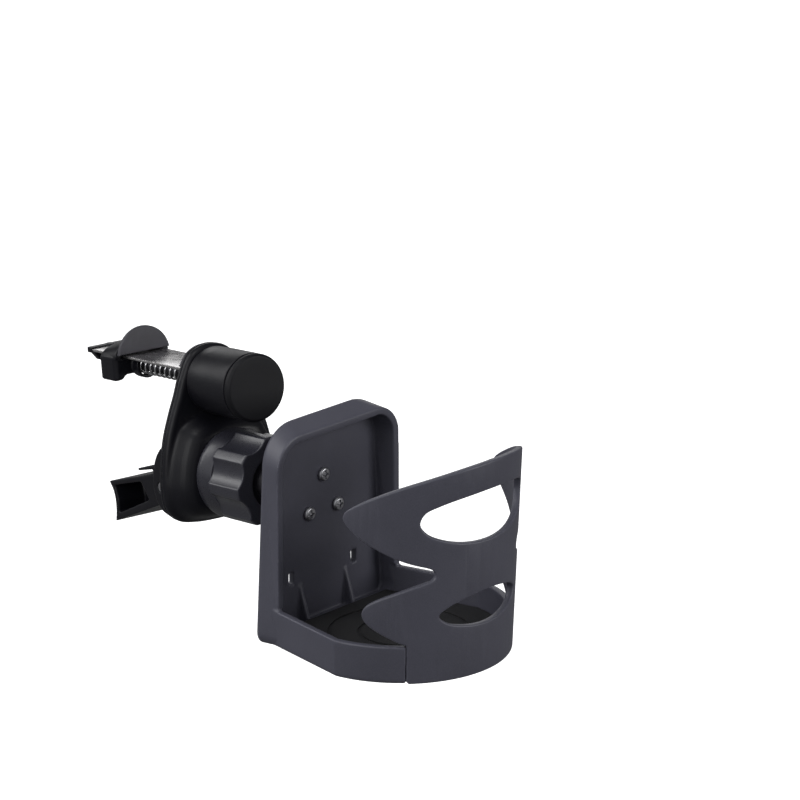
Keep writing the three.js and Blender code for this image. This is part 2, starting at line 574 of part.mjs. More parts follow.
function clampGroup() {
  const group = new THREE.Group();
  group.name = 'clamp';
  group.position.set(...BALL);
  group.rotation.set(rad(CLAMP_PITCH), 0, rad(CLAMP_YAW), 'ZXY');
  group.add(
    mesh('clamp_body', clampBody(), DARK),
    mesh('rear_cover', rearCover(), DARK),
    mesh('body_pad', bodyPad(), RUBBER),
    mesh('guide_strip', guideStrip(), STEEL),
    mesh('strip_stop', stripStop(), DARK),
    mesh('clamp_screw', clampScrew(), STEEL),
    mesh('clamp_knob', clampKnob(), DARK),
    mesh('knob_cap', knobCap(), CAP),
    mesh('thrust_washer', washer(SCREW_R + 0.15, 5.2, 28.4, 29.3), ACETAL),
    mesh('retaining_clip', retainingClip(), STEEL),
    mesh('clamp_spring', clampSpring(), STEEL),
    mesh('jaw_block', jawBlock(), DARK),
    mesh('jaw_pad', jawPad(), RUBBER),
    mesh('jaw_nut', jawNut(), STEEL),
    mesh('support_foot', supportFoot(), DARK),
    mesh('foot_pin', footPin(), STEEL),
    mesh('socket_collet', socketCollet(), SHELL),
    mesh('lock_nut', lockNut(), SHELL),
    mesh('ball_seat', ballSeat(), ACETAL),
    mesh('ball_liner', ballLiner(), DARK),
    ...numbered('socket_screw', socketScrewSpots(), socketScrew, STEEL),
    ...numbered('cover_screw', COVER_SCREWS, coverScrew, STEEL),
  );
  return group;
}

const object = new THREE.Group();
object.name = 'desk_clamp_cup_holder';
object.add(holderGroup(), clampGroup());

export default object;
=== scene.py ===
"""Desk clamp cup holder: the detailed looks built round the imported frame."""

import math

import bmesh
import bpy
import numpy as np
from mathutils import Matrix, Vector


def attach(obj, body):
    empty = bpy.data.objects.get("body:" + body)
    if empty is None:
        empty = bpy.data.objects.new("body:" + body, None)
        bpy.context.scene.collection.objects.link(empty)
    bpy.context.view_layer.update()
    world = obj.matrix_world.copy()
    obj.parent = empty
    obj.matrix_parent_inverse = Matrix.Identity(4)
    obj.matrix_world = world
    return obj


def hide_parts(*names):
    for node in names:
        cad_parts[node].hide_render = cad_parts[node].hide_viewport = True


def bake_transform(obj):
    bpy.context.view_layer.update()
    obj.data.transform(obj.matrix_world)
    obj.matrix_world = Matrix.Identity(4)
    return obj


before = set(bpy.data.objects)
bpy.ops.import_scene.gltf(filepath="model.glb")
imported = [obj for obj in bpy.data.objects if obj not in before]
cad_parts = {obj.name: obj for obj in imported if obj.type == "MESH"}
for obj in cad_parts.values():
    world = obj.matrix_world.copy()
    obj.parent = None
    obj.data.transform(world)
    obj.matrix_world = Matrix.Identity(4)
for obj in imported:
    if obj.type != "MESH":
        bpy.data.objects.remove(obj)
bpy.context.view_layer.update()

# ---------------------------------------------------------------- driving sizes, in millimetres
METRES = 0.001
BALL = (0.0, 66.9, 48.2)
BALL_R = 8
CLAMP = (Matrix.Translation(BALL) @ Matrix.Rotation(math.radians(-12.5), 4, "Z")
         @ Matrix.Rotation(math.radians(-7.5), 4, "X"))
ROW = Matrix.Identity(4)
TRAY_R, TRAY_DRAFT, TRAY_RIM = 41.3, 0.04, 14.4
WALL, FLOOR = 2.8, 3.0
BACK_Y, HOOD_Y = 41.0, 29.6
ROUND_END, SIDE_TAPER = 83, 0.213
HOOD_FRONT = dict(foot=33.6, waist=33.2, top=79.0, corner=12.0)
HOOD_BACK = dict(foot=33.4, waist=29.8, top=80.4, corner=14.0)
GUARD_WALL, SEAM = 2.6, 45.6
GUARD_EDGE, GUARD_MID_R = 45.35, 42.0
GUARD_SCREW_RING, GUARD_SCREW_ANGLE = 36.4, 30.0
STUD_SCREW_RING = 9
RIB_X, SLOT_X = 12.4, 17
NUT = dict(radius=17.6, bore=13.3, mouth=10.4, front=-7.4, rear=12.8, lip=1.5)
FLUTE = dict(count=8, radius=8.6, ring=24.0, first=27.5)
AXIS_Z = 34.9
KNOB_Y, KNOB_R = 0.4, 12.9
THREAD_LEAD = 2.0
STRIP_LOW, STRIP_HIGH = 38.8, 39.8
STOP_Y = 101.2
SPRING_LOW, SPRING_HIGH = 35.0, 84.2
COIL_R, WIRE_R, COILS = 3.17, 0.43, 15.5
SCREW_R = 2.4
PIN_Y, PIN_Z = 39.8, -4.4
FOOT_HALF = 17.2

# ---------------------------------------------------------------- studio values, in metres and degrees
SKY_LOW, SKY_HIGH = 0.12, 0.6
SKY_BRIGHT_SIDE = (-0.85, 0.25, 0.45)
PAPER_GLOW = 0.75
FLOOR_DROP, FLOOR_HALF_WIDTH, FLOOR_HEADING = 0.07, 4.0, -48.5
CAMERA_PLACE = (-1.1488, -1.0164, 0.5888)
CAMERA_TILT, CAMERA_HEADING, CAMERA_LENS = 72.115, -48.501, 201.3
LIGHT_TARGET = (0.0, 0.04, 0.05)


# ---------------------------------------------------------------- outlines
def arc(radius, start, end, step, centre=(0, 0)):
    """Points on a circle, angles in degrees."""
    count = max(2, int(math.ceil(abs(end - start) / step)))
    t = np.radians(np.linspace(start, end, count + 1))
    return np.c_[centre[0] + radius * np.cos(t), centre[1] + radius * np.sin(t)]


def resample(points, step, closed):
    """The same line with its points spaced evenly, about one step apart."""
    p = np.asarray(points, float)
    if closed:
        p = np.vstack([p, p[:1]])
    run = np.r_[0, np.cumsum(np.linalg.norm(np.diff(p, axis=0), axis=1))]
    count = max(4, int(round(run[-1] / step)))
    t = np.linspace(0, run[-1], count + 1)
    out = np.stack([np.interp(t, run, p[:, k]) for k in range(p.shape[1])], axis=1)
    return out[:-1] if closed else out


def smooth_curve(points, step, closed=False):
    """Centripetal Catmull-Rom curve through the points, evenly sampled."""
    p = np.asarray(points, float)
    ends = (p[-1:], p[:2]) if closed else (2 * p[:1] - p[1:2], 2 * p[-1:] - p[-2:-1])
    q = np.vstack([ends[0], p, ends[1]])
    out = []
    for a, b, c, d in zip(q, q[1:], q[2:], q[3:]):
        k = np.cumsum([0] + [max(np.linalg.norm(v - u), 1e-6) ** 0.5 for u, v in ((a, b), (b, c), (c, d))])
        t = np.linspace(k[1], k[2], 13)[:-1, None]
        a1 = (k[1] - t) / (k[1] - k[0]) * a + (t - k[0]) / (k[1] - k[0]) * b
        a2 = (k[2] - t) / (k[2] - k[1]) * b + (t - k[1]) / (k[2] - k[1]) * c
        a3 = (k[3] - t) / (k[3] - k[2]) * c + (t - k[2]) / (k[3] - k[2]) * d
        b1 = (k[2] - t) / (k[2] - k[0]) * a1 + (t - k[0]) / (k[2] - k[0]) * a2
        b2 = (k[3] - t) / (k[3] - k[1]) * a2 + (t - k[1]) / (k[3] - k[1]) * a3
        out.append((k[2] - t) / (k[2] - k[1]) * b1 + (t - k[1]) / (k[2] - k[1]) * b2)
    if not closed:
        out.append(p[-1:])
    return resample(np.vstack(out), step, closed)


def mirrored(right):
    """Whole outline from its right half, listed from the bottom centre up to the top centre."""
    right = np.asarray(right, float)
    left = right[::-1] * (-1, 1)
    keep = [i for i, p in enumerate(left) if abs(p[0]) > 1e-6]
    return np.vstack([right, left[keep]])


def inset(loop, distance):
    """Moves an anticlockwise loop inwards."""
    along = np.roll(loop, -1, axis=0) - np.roll(loop, 1, axis=0)
    along /= np.maximum(np.linalg.norm(along, axis=1), 1e-9)[:, None]
    return loop + distance * np.c_[-along[:, 1], along[:, 0]]


def fillet(points, radius, closed=False, steps=5):
    """Rounds each corner of a polyline with an arc-like curve."""
    p = [np.asarray(q, float) for q in points]
    out = []
    for i, corner in enumerate(p):
        if not closed and i in (0, len(p) - 1):
            out.append(corner)
            continue
        before, after = p[i - 1] - corner, p[(i + 1) % len(p)] - corner
        la, lb = np.linalg.norm(before), np.linalg.norm(after)
        cut = min(radius, 0.48 * la, 0.48 * lb)
        a, b = corner + before / la * cut, corner + after / lb * cut
        for t in np.linspace(0, 1, steps + 1):
            out.append((1 - t) ** 2 * a + 2 * t * (1 - t) * corner + t * t * b)
    return np.array(out)


# ---------------------------------------------------------------- mesh tools
def face_out(bm):
    """Turns every face outwards."""
    bmesh.ops.recalc_face_normals(bm, faces=bm.faces)
    if bm.calc_volume(signed=True) < 0:
        bmesh.ops.reverse_faces(bm, faces=bm.faces)


def mesh_object(name, verts, faces):
    """Closed triangle mesh with merged points and outward faces."""
    mesh = bpy.data.meshes.new(name)
    mesh.from_pydata([tuple(map(float, v)) for v in verts], [], [tuple(map(int, f)) for f in faces])
    bm = bmesh.new()
    bm.from_mesh(mesh)
    bmesh.ops.remove_doubles(bm, verts=bm.verts, dist=1e-5)
    bmesh.ops.triangulate(bm, faces=bm.faces)
    face_out(bm)
    bm.to_mesh(mesh)
    bm.free()
    obj = bpy.data.objects.new(name, mesh)
    bpy.context.scene.collection.objects.link(obj)
    return obj


def loft(rings):
    """Closed skin over rings of equal point count."""
    n = len(rings[0])
    faces = []
    for level in range(len(rings) - 1):
        for i in range(n):
            a, b = level * n + i, level * n + (i + 1) % n
            faces.append((a, b, b + n, a + n))
    last = (len(rings) - 1) * n
    faces += [tuple(range(n))[::-1], tuple(range(last, last + n))]
    return mesh_object("solid", np.vstack(rings), faces)


def ring_y(loop, y):
    return np.c_[loop[:, 0], np.full(len(loop), y), loop[:, 1]]


def ring_z(loop, z):
    return np.c_[loop[:, 0], loop[:, 1], np.full(len(loop), z)]


def ring_x(loop, x):
    return np.c_[np.full(len(loop), x), loop[:, 0], loop[:, 1]]


def block(x, y, z):
    loop = np.array([(x[0], y[0]), (x[1], y[0]), (x[1], y[1]), (x[0], y[1])], float)
    return loft([ring_z(loop, z[0]), ring_z(loop, z[1])])


def lathe(profile, segments=96, x=0.0, z=0.0, axis="Y"):
    """Turned solid about a line parallel to an axis; the profile is a closed (radius, height) loop."""
    t = np.linspace(0, 2 * math.pi, segments, endpoint=False)
    pr = np.asarray(profile, float)
    rings = []
    for angle in t:
        c = pr[:, 0] * math.cos(angle)
        s = pr[:, 0] * math.sin(angle)
        cols = {"Y": (x + c, pr[:, 1], z + s), "Z": (x + c, z + s, pr[:, 1]), "X": (pr[:, 1], x + c, z + s)}
        rings.append(np.stack(cols[axis], axis=1))
    n = len(pr)
    faces = []
    for i in range(segments):
        for j in range(n):
            a, b = i * n + j, i * n + (j + 1) % n
            c = (i + 1) % segments * n + (j + 1) % n
            d = (i + 1) % segments * n + j
            hub_a, hub_b = pr[j, 0] < 1e-7, pr[(j + 1) % n, 0] < 1e-7
            if hub_a and hub_b:
                continue
            faces.append((a, b, d) if hub_b else (a, b, c) if hub_a else (a, b, c, d))
    return mesh_object("turned", np.vstack(rings), faces)


def rod(radius, low, high, x=0.0, z=0.0, axis="Y", segments=48):
    return lathe([(0, low), (radius, low), (radius, high), (0, high)], segments, x, z, axis)


def evaluate(obj):
    """Replaces the object's mesh by the one its modifiers make."""
    graph = bpy.context.evaluated_depsgraph_get()
    mesh = bpy.data.meshes.new_from_object(obj.evaluated_get(graph))
    old = obj.data
    obj.modifiers.clear()
    obj.data = mesh
    bpy.data.meshes.remove(old)
    return obj


def boolean(obj, tools, operation):
    for tool in tools:
        modifier = obj.modifiers.new("boolean", "BOOLEAN")
        modifier.operation = operation
        modifier.object = tool
        modifier.solver = "MANIFOLD"
    obj.modifiers.new("triangles", "TRIANGULATE")
    evaluate(obj)
    for tool in tools:
        bpy.data.objects.remove(tool)
    return obj


def cut(obj, *tools):
    return boolean(obj, tools, "DIFFERENCE")


def add(obj, *tools):
    return boolean(obj, tools, "UNION")


def soften(obj, voxel, rounds, keep):
    """Even remesh, then smoothing, so that every moulded edge is rounded."""
    remesh = obj.modifiers.new("remesh", "REMESH")
    remesh.mode = "VOXEL"
    remesh.voxel_size = voxel
    remesh.use_smooth_shade = True
    smooth = obj.modifiers.new("smooth", "SMOOTH")
    smooth.factor = 0.5
    smooth.iterations = rounds
    decimate = obj.modifiers.new("decimate", "DECIMATE")
    decimate.ratio = keep
    return evaluate(obj)


def slab(loops, thickness, radius, steps=4):
    """Plate with rounded edges as a bmesh; outer loop anticlockwise, holes clockwise, height along z."""
    levels = []
    for t in np.linspace(0, math.pi / 2, steps + 1):
        levels.append((radius * (1 - math.sin(t)), radius * (1 - math.cos(t))))
    levels += [(shrink, thickness - depth) for shrink, depth in levels[::-1]]
    bm = bmesh.new()
    for loop in loops:
        rings = [[bm.verts.new((x, y, depth)) for x, y in inset(loop, shrink)] for shrink, depth in levels]
        n = len(loop)
        for low, high in zip(rings, rings[1:]):
            for i in range(n):
                bm.faces.new((low[i], low[(i + 1) % n], high[(i + 1) % n], high[i]))
    rims = [[e for e in bm.edges if all(abs(v.co.z - h) < 1e-7 for v in e.verts)] for h in (0, thickness)]
    for rim in rims:
        bmesh.ops.triangle_fill(bm, use_beauty=True, use_dissolve=False, edges=rim)
    return bm


def slab_object(name, loops, thickness, radius, place, slices=()):
    """Rounded plate put in place by a function of (x, y, height); slices keep bent plates smooth."""
    bm = slab(loops, thickness, radius)
    for x in slices:
        bmesh.ops.bisect_plane(bm, geom=bm.verts[:] + bm.edges[:] + bm.faces[:], dist=1e-5,
                               plane_co=(x, 0, 0), plane_no=(1, 0, 0))
    for v in bm.verts:
        v.co = place(v.co.x, v.co.y, v.co.z)
    bmesh.ops.triangulate(bm, faces=bm.faces)
    face_out(bm)
    mesh = bpy.data.meshes.new(name)
    bm.to_mesh(mesh)
    bm.free()
    obj = bpy.data.objects.new(name, mesh)
    bpy.context.scene.collection.objects.link(obj)
    return obj


def piece(obj, name, body, nodes, material, place=CLAMP, angle=40):
    """Puts a finished mesh in the row frame, in metres, and hands it to its CAD body, if it rides on one."""
    obj.name = name
    obj.data.name = name
    obj.data.transform(Matrix.Scale(METRES, 4) @ place)
    obj.data.update()
    obj.data.materials.clear()
    obj.data.materials.append(material)
    for p in obj.data.polygons:
        p.use_smooth = True
    if angle:
        obj.data.set_sharp_from_angle(angle=math.radians(angle))
    if body:
        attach(obj, body)
    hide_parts(*nodes)
    return obj


def follow_both(obj):
    """A spring between two bodies: its placement is baked into its mesh; it rides on neither body, and
    nothing moves its coils.
    """
    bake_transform(obj)


# ---------------------------------------------------------------- materials
def linear(rgb):
    """Linear light from eight-bit display values."""
    return tuple(c / 12.92 if c <= 0.04045 else ((c + 0.055) / 1.055) ** 2.4 for c in (v / 255 for v in rgb))


def scaled(base, factor, lift=0.0):
    """A lighter or darker node colour made from a linear one."""
    return (*[c * factor + lift for c in base], 1)


class Nodes:
    """A small builder for node materials."""

    def __init__(self, name):
        self.material = bpy.data.materials.new(name)
        self.material.use_nodes = True
        self.tree = self.material.node_tree
        self.shader = self.tree.nodes["Principled BSDF"]
        self.place = self.add("ShaderNodeTexCoord").outputs["Object"]

    def add(self, kind, inputs=None, **settings):
        node = self.tree.nodes.new(kind)
        for key, value in settings.items():
            setattr(node, key, value)
        for key, value in (inputs or {}).items():
            self.put(node.inputs[key], value)
        return node

    def put(self, socket, value):
        if isinstance(value, bpy.types.NodeSocket):
            self.tree.links.new(value, socket)
        else:
            socket.default_value = value

    def noise(self, scale, detail=3.0, roughness=0.55, vector=None):
        node = self.add("ShaderNodeTexNoise", {"Vector": vector or self.place, "Scale": scale,
                                               "Detail": detail, "Roughness": roughness})
        return node.outputs["Fac"]

    def span(self, value, low, high, out_low, out_high):
        node = self.add("ShaderNodeMapRange", {"Value": value, "From Min": low, "From Max": high,
                                               "To Min": out_low, "To Max": out_high})
        return node.outputs["Result"]

    def mix(self, factor, a, b):
        node = self.add("ShaderNodeMix", data_type="RGBA")
        self.put(node.inputs[0], factor)
        self.put(node.inputs[6], a)
        self.put(node.inputs[7], b)
        return node.outputs[2]

    def maths(self, operation, a, b):
        node = self.add("ShaderNodeMath", operation=operation)
        self.put(node.inputs[0], a)
        self.put(node.inputs[1], b)
        return node.outputs[0]

    def bump(self, height, distance, strength=1.0, normal=None):
        node = self.add("ShaderNodeBump", {"Height": height, "Distance": distance, "Strength": strength})
        if normal is not None:
            self.put(node.inputs["Normal"], normal)
        return node.outputs["Normal"]

    def edges(self, radius):
        """One near edges, nought on open faces."""
        soft = self.add("ShaderNodeBevel", {"Radius": radius}, samples=4).outputs[0]
        plain = self.add("ShaderNodeNewGeometry").outputs["Normal"]
        dot = self.add("ShaderNodeVectorMath", operation="DOT_PRODUCT")
        self.put(dot.inputs[0], soft)
        self.put(dot.inputs[1], plain)
        return self.span(dot.outputs["Value"], 0.995, 0.9, 0.0, 1.0)

    def finish(self, **inputs):
        for key, value in inputs.items():
            self.put(self.shader.inputs[key.replace("_", " ")], value)
        return self.material


def plastic(name, rgb, roughness, grain=2600.0, depth=0.00003, edge_wear_and_highlight=0.35, shine=0.4):
    """Moulded plastic: fine spark-eroded grain, slow tone and gloss drift, edges lightened partly as rubbed
    wear and partly as a painted highlight.
    """
    n = Nodes(name)
    base = linear(rgb)
    cloud = n.noise(38.0, 4.0)
    fine = n.noise(grain, 2.0, 0.6)
    scuff = n.noise(420.0, 6.0, 0.7)
    # Edge mask, broken up by scuff noise: it marks rubbed wear and a painted edge highlight.
    edge = n.maths("MULTIPLY", n.edges(0.0007), n.span(scuff, 0.42, 0.62, 0.25, 1.0))
    tone = n.mix(n.span(cloud, 0.3, 0.7, 0.0, 1.0), scaled(base, 0.92), scaled(base, 1.08))
    speck = n.mix(n.span(fine, 0.35, 0.7, 0.0, 0.35), tone, scaled(base, 1.5))
    # Edges take a much lighter colour: rubbed wear mixed with a painted edge highlight.
    colour = n.mix(n.maths("MULTIPLY", edge, edge_wear_and_highlight), speck, scaled(base, 3, 0.03))
    rough = n.maths("ADD", n.span(cloud, 0.3, 0.7, roughness - 0.04, roughness + 0.04),
                    n.span(fine, 0.3, 0.7, -0.05, 0.05))
    rough = n.maths("SUBTRACT", rough, n.maths("MULTIPLY", edge, 0.1))
    normal = n.bump(n.noise(240.0, 3.0), 0.00006, 0.35, n.bump(fine, depth, 0.8))
    return n.finish(Base_Color=colour, Roughness=rough, Normal=normal, Specular_IOR_Level=shine)


def rubber(name, rgb, roughness):
    """Matte elastomer: dusty bloom, fine pitting."""
    n = Nodes(name)
    base = linear(rgb)
    bloom = n.noise(90.0, 6.0, 0.65)
    pits = n.noise(1900.0, 3.0, 0.6)
    colour = n.mix(n.span(bloom, 0.4, 0.68, 0.0, 0.6), scaled(base, 1), scaled(base, 1.7, 0.004))
    rough = n.span(bloom, 0.3, 0.7, roughness - 0.06, roughness + 0.05)
    return n.finish(Base_Color=colour, Roughness=rough, Normal=n.bump(pits, 0.00005, 0.8))


def steel(name, rgb, roughness, stretch, scratch=0.00001):
    """Metal with a directional finish; stretch sets how long the lines run along each axis."""
    n = Nodes(name)
    base = linear(rgb)
    mapping = n.add("ShaderNodeMapping", {"Vector": n.place, "Scale": stretch})
    lines = n.noise(900.0, 5.0, 0.6, mapping.outputs["Vector"])
    smear = n.noise(70.0, 5.0, 0.6)
    colour = n.mix(n.span(lines, 0.3, 0.7, 0.0, 1.0), scaled(base, 0.86), scaled(base, 1))
    colour = n.mix(n.span(smear, 0.5, 0.75, 0.0, 0.25), colour, scaled(base, 0.6))
    rough = n.maths("ADD", n.span(lines, 0.3, 0.7, roughness - 0.06, roughness + 0.08),
                    n.span(smear, 0.35, 0.7, -0.03, 0.07))
    return n.finish(Base_Color=colour, Roughness=rough, Metallic=1.0, Normal=n.bump(lines, scratch, 0.7))


# The edge amounts below set how much each plastic's edges are lightened, as rubbed wear and as a painted edge
# highlight.
SHELL = plastic("charcoal_moulding", (71, 71, 81), 0.44, edge_wear_and_highlight=0.5)
NUT_FINISH = plastic("charcoal_nut", (42, 42, 49), 0.3, grain=3200.0, depth=0.000015, edge_wear_and_highlight=0.8, shine=0.55)
DARK = plastic("black_moulding", (17, 17, 22), 0.4, grain=3000.0, depth=0.00002, edge_wear_and_highlight=0.7, shine=0.2)
CAP = plastic("black_cap", (15, 15, 19), 0.55, grain=3000.0, depth=0.000015, edge_wear_and_highlight=0.3, shine=0.2)
MAT = rubber("base_rubber", (24, 24, 26), 0.78)
PAD = rubber("pad_rubber", (50, 49, 55), 0.62)
STRIP = steel("brushed_strip", (214, 212, 212), 0.2, (1.0, 0.06, 1.0))
SPRING = steel("bright_wire", (226, 226, 228), 0.2, (1.0, 1.0, 1.0))
THREAD = steel("dark_thread", (88, 88, 92), 0.38, (1.0, 1.0, 1.0))
ZINC = steel("zinc_screw", (188, 188, 192), 0.34, (1.0, 1.0, 0.1))
CAST = plastic("coated_casting", (62, 61, 66), 0.4, grain=2200.0, depth=0.00004)
ACETAL = plastic("natural_acetal", (214, 210, 200), 0.42, grain=2400.0, depth=0.00002, edge_wear_and_highlight=0.0)


# ---------------------------------------------------------------- tray and hood
def tray_radius(z):
    return TRAY_R + TRAY_DRAFT * z


def tray_outline(z, back, shrink):
    """Round front, then two straight sides drawing in towards the back."""
    r = tray_radius(z) - shrink
    t = np.radians(np.linspace(-ROUND_END, ROUND_END, 84))
    front = np.c_[r * np.sin(t), -r * np.cos(t)]
    half = front[-1, 0] - SIDE_TAPER * (back - front[-1, 1])
    return np.vstack([front, [(half, back), (-half, back)]])


def hood_outline(shape, shrink, low):
    """Back plate seen from the front: eased foot, straight flank, round upper corners."""
    half = shape["waist"] - shrink
    bend = shape["corner"] - shrink
    foot = shape["foot"] - shrink
    ease = [(math.sin(t), math.cos(t)) for t in np.linspace(0, math.pi / 2, 7)]
    right = [(foot - 3 + 3 * sine, low + 4 - 4 * cosine) for sine, cosine in ease]
    right += list(arc(bend, 0, 90, 4, (half - bend, shape["top"] - shape["corner"])))
    right = np.array(right)
    return np.vstack([right, right[::-1] * (-1, 1)])


def round_rim(width, low, high, steps=4):
    """(height, inset) levels of a rounded lower edge followed by a straight wall."""
    t = np.linspace(0, math.pi / 2, steps + 1)
    return [(low + width * (1 - math.cos(a)), width * (1 - math.sin(a))) for a in t] + [(high, 0.0)]


def band(stations, low, high, inner, outer):
    """Curved wall round the cup axis between two heights."""
    rings = []
    for a in stations:
        s, c = math.sin(math.radians(a)), -math.cos(math.radians(a))
        rings.append([(inner(z) * s, inner(z) * c, z) if near else (outer(z) * s, outer(z) * c, z)
                      for near, z in ((1, low), (0, low), (0, high), (1, high))])
    return loft([np.array(r) for r in rings])


def build_holder():
    levels = round_rim(1.6, 0, TRAY_RIM)
    tray = loft([ring_z(tray_outline(z, BACK_Y - 1.5, s), z) for z, s in levels])
    hood_levels = [(HOOD_Y, HOOD_FRONT, 0.0), (38.2, HOOD_BACK, -1.6), (39.6, HOOD_BACK, -0.9),
                   (40.5, HOOD_BACK, 0.2), (BACK_Y, HOOD_BACK, 1.6)]
    hood = loft([ring_y(hood_outline(shape, s, 0), y) for y, shape, s in hood_levels])
    scoop = loft([ring_y(hood_outline(shape, s, FLOOR), y) for y, shape, s in
                  ((HOOD_Y - 0.5, HOOD_FRONT, WALL), (BACK_Y - 3.0, HOOD_BACK, WALL - 1.4))])
    well = loft([ring_z(tray_outline(z, BACK_Y - 3.2, WALL), z) for z in (FLOOR, TRAY_RIM + 1)])
    gusset = np.array([(BACK_Y - 2, 21.0), (BACK_Y - 2, 2.0), (33.6, 2.0), (33.6, 4.6)])
    ribs = [loft([ring_x(gusset, RIB_X * side + edge) for edge in (-0.9, 0.9)]) for side in (-1, 1)]
    slots = [block((SLOT_X * side - 1.4, SLOT_X * side + 1.4), (37, 42), (18, 23)) for side in (-1, 1)]
    holes = [rod(1.6, 37, 42, x, z) for x, z in stud_screw_spots()]
    seat = band(np.linspace(-SEAM, SEAM, 41), -1, TRAY_RIM + 1,
                lambda z: tray_radius(z) - GUARD_WALL - 0.1, lambda z: 60.0)
    pockets = []
    for x, y in guard_screw_spots():
        for radius, low, high in ((2.9, FLOOR - 0.6, TRAY_RIM + 1), (1.2, -1, FLOOR), (2.2, -1, 1.6)):
            pockets.append(rod(radius, low, high, x, y, "Z"))
    shell = cut(add(tray, hood), scoop, well)
    for tools in ([seat], slots, holes, *[[pocket] for pocket in pockets]):
        cut(shell, *tools)
    for rib in ribs:
        join(shell, rib)
    return soften(shell, 0.42, 5, 0.22)


def stud_screw_spots():
    turns = [math.radians(a) for a in (90, 210, 330)]
    return [(STUD_SCREW_RING * math.cos(a), BALL[2] + STUD_SCREW_RING * math.sin(a)) for a in turns]


def guard_screw_spots():
    a = math.radians(GUARD_SCREW_ANGLE)
    return [(side * GUARD_SCREW_RING * math.sin(a), -GUARD_SCREW_RING * math.cos(a)) for side in (-1, 1)]


# ---------------------------------------------------------------- front guard
# Outlines of the right half, as (degrees round the cup, height).
GUARD_RIGHT = [(GUARD_EDGE, 14.9), (50, 16.1), (55, 17.9), (60, 19.9), (64.4, 22.1), (66.9, 24.3),
               (67.6, 26.4), (66.4, 28.6), (63.2, 30.6), (58, 32.6), (50, 35), (42, 37.1), (35.5, 38.6),
               (32.4, 39.4), (31.0, 41.3), (32.4, 43.3), (35.5, 44.4), (42, 45.8), (50, 48.0), (58, 50.8),
               (65, 53.8), (71, 57.0), (75, 60.0), (76.4, 62.2), (75.2, 64.4), (71.5, 66.6), (66, 69.0),
               (58, 71.9), (48, 74.8), (34, 77.7), (20, 79.7), (10, 80.5), (0, 80.8)]
UPPER_EYE = [(0, 51.2), (14, 51.9), (26, 53.9), (35, 57), (38.8, 61), (36.6, 64.9), (29, 67.4), (17, 69.3),
             (0, 70.2)]
LOWER_EYE = [(0, 19.2), (13, 20), (24.6, 22.3), (29.0, 25.5), (24, 28.3), (12, 31), (0, 32)]
ARC_MM = math.radians(1) * GUARD_MID_R


def on_wall(points):
    """(degrees, height) points laid out flat, in millimetres."""
    return np.asarray(points, float) * (ARC_MM, 1.0)


def wrap(x, z, depth):
    """Bends the flat guard round the cup's slightly conical wall."""
    a = x / GUARD_MID_R
    r = tray_radius(z) - GUARD_WALL + depth
    return Vector((r * math.sin(a), -r * math.cos(a), z))


def build_guard():
    side = smooth_curve(on_wall(GUARD_RIGHT), 0.9)
    edge = GUARD_EDGE * ARC_MM
    corner = [(edge - 0.9, 0.0), (edge, 0.9)]
    right = np.vstack([[(0.0, 0.0)], resample([(1.5, 0.0), corner[0]], 1.5, False), corner[1:],
                       resample([(edge, 1.6), (edge, 14.0)], 1.2, False), side])
    outer = mirrored(right)
    eyes = [smooth_curve(on_wall(mirrored(e)), 0.9, True)[::-1] for e in (UPPER_EYE, LOWER_EYE)]
    cuts = np.arange(-56, 56.1, 1.05) + 0.013
    guard = slab_object("guard", [outer, *eyes], GUARD_WALL, 0.6, wrap, cuts)
    boss = [(0.95, 2.7), (2.5, 2.7), (2.5, 11.6), (2.1, 12), (0.95, 12)]
    for x, y in guard_screw_spots():
        join(guard, lathe(boss, 32, x, y, "Z"))
    return guard


def join(obj, other):
    """Adds another mesh's faces to obj."""
    bm = bmesh.new()
    bm.from_mesh(obj.data)
    bm.from_mesh(other.data)
    bm.to_mesh(obj.data)
    bm.free()
    bpy.data.objects.remove(other)
    return obj


def build_mat():
    outline = resample(tray_outline(FLOOR, 33.2, WALL + 0.5), 1.0, True)
    mat = slab_object("mat", [outline], 1.8, 0.35, lambda x, y, h: Vector((x, y, FLOOR + 0.1 + h)))
    notches = [rod(3.2, 2, 6, x, y, "Z") for x, y in guard_screw_spots()]
    grooves = [lathe([(r, 4.3), (r + 1.6, 4.3), (r + 1.6, 6), (r, 6)], 96, axis="Z") for r in (14, 25)]
    return cut(mat, *notches, *grooves)


# ---------------------------------------------------------------- ball joint
def build_stud():
    y, z = BALL[1], BALL[2]
    flange = fillet([(0, BACK_Y + 0.1), (13.5, BACK_Y + 0.1), (13.5, 44.5), (7.2, 46.0), (4.4, 48.4),
                     (3.2, 52), (3.2, y - 7.33)], 1.2)
    turns = np.radians(np.linspace(156, 0, 27))
    ball = np.array([(BALL_R * math.sin(t), y + BALL_R * math.cos(t)) for t in turns])
    return lathe(np.vstack([flange, ball]), 72, 0, z)


def build_collet():
    body = lathe([(0, 12.2), (11.3, 12.2), (11.3, -4.7), (11.8, -5.2), (12.4, -5.2), (13, -4.5), (13, 13.3),
                  (14.8, 13.3), (15.4, 13.6), (17.2, 18.3), (17.2, 20.5), (0, 20.5)], 96)
    slit, across, depth = (-0.8, 0.8), (-20, 20), (-6, 3.5)
    return cut(body, block(slit, depth, across), block(across, depth, slit))


def build_nut():
    outer, bore, mouth = NUT["radius"], NUT["bore"], NUT["mouth"]
    front, rear, inside = NUT["front"], NUT["rear"], NUT["front"] + NUT["lip"]
    profile = fillet([(mouth, front), (outer, front), (outer, rear), (bore, rear), (bore, inside),
                      (mouth, inside)], 0.9, True)
    nut = lathe(profile, 160)
    grooves = []
    for i in range(FLUTE["count"]):
        a = math.radians(FLUTE["first"] + 360 / FLUTE["count"] * i)
        x, z = FLUTE["ring"] * math.cos(a), FLUTE["ring"] * math.sin(a)
        grooves.append(rod(FLUTE["radius"], -10, 14, x, z, segments=96))
    return soften(cut(nut, *grooves), 0.3, 4, 0.35)


